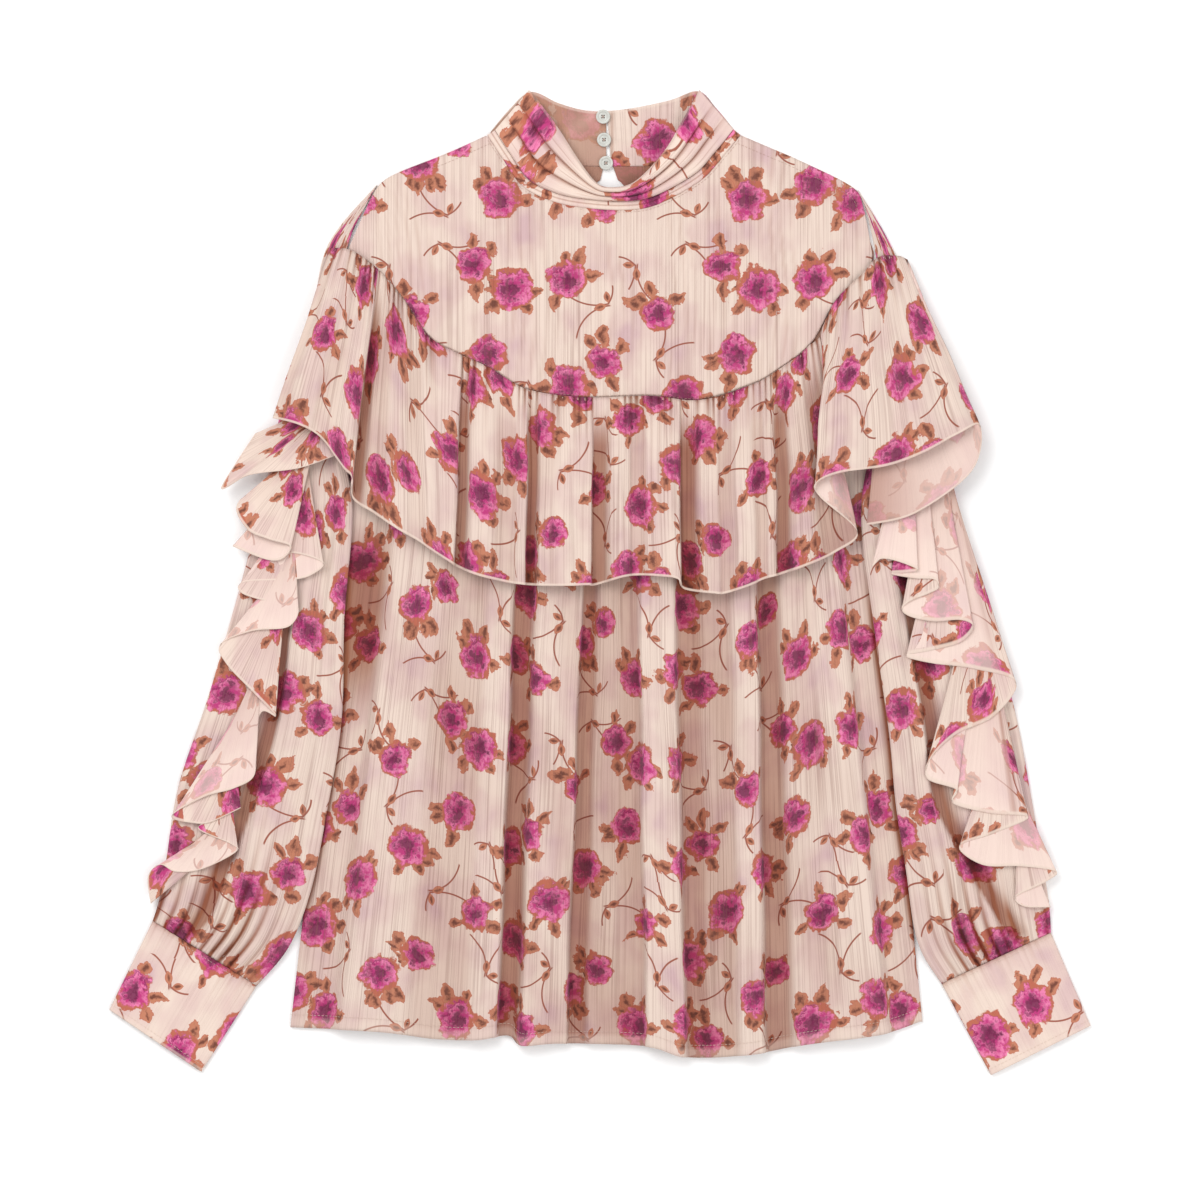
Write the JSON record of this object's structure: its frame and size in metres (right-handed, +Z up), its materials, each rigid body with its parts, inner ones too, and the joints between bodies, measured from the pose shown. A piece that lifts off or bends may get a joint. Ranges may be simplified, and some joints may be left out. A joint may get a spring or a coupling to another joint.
{
  "type": "long-sleeve ruffled high-neck blouse",
  "caption": "Sheer floral blouse laid flat: draped high neck with a buttoned keyhole back, round yoke, gathered flounce, long sleeves with cascade ruffles and wide cuffs.",
  "frame": {"origin": "bottom centre of the laid blouse's box, on the surface it lies on", "axes": "+X to the right of the laid blouse as seen from above, +Y from its hem to its neck, +Z up out of the surface"},
  "size_m": [0.7071, 0.7094, 0.0271],
  "materials": {
    "floral_chiffon": "matt crinkled chiffon, printed with roses",
    "chiffon_inner_face": "matt crinkled chiffon, inner face in shade",
    "ruffle_chiffon": "matt crinkled chiffon, pale underside of the print",
    "pearl_button": "satin pearl"
  },
  "bodies": {
    "root": {"neck_band": "floral_chiffon", "collar_front": "floral_chiffon", "collar_back_right": "floral_chiffon", "yoke_front": "floral_chiffon", "body_front": "floral_chiffon", "flounce_front": "floral_chiffon", "sleeve_left": "floral_chiffon", "sleeve_right": "floral_chiffon", "cuff_left": "floral_chiffon", "cuff_right": "floral_chiffon", "back_body": "chiffon_inner_face", "collar_back_left": "chiffon_inner_face", "sleeve_ruffle_left": "ruffle_chiffon", "sleeve_ruffle_right": "ruffle_chiffon", "button_1": "pearl_button", "button_2": "pearl_button", "button_3": "pearl_button"}
  },
  "joints": []
}
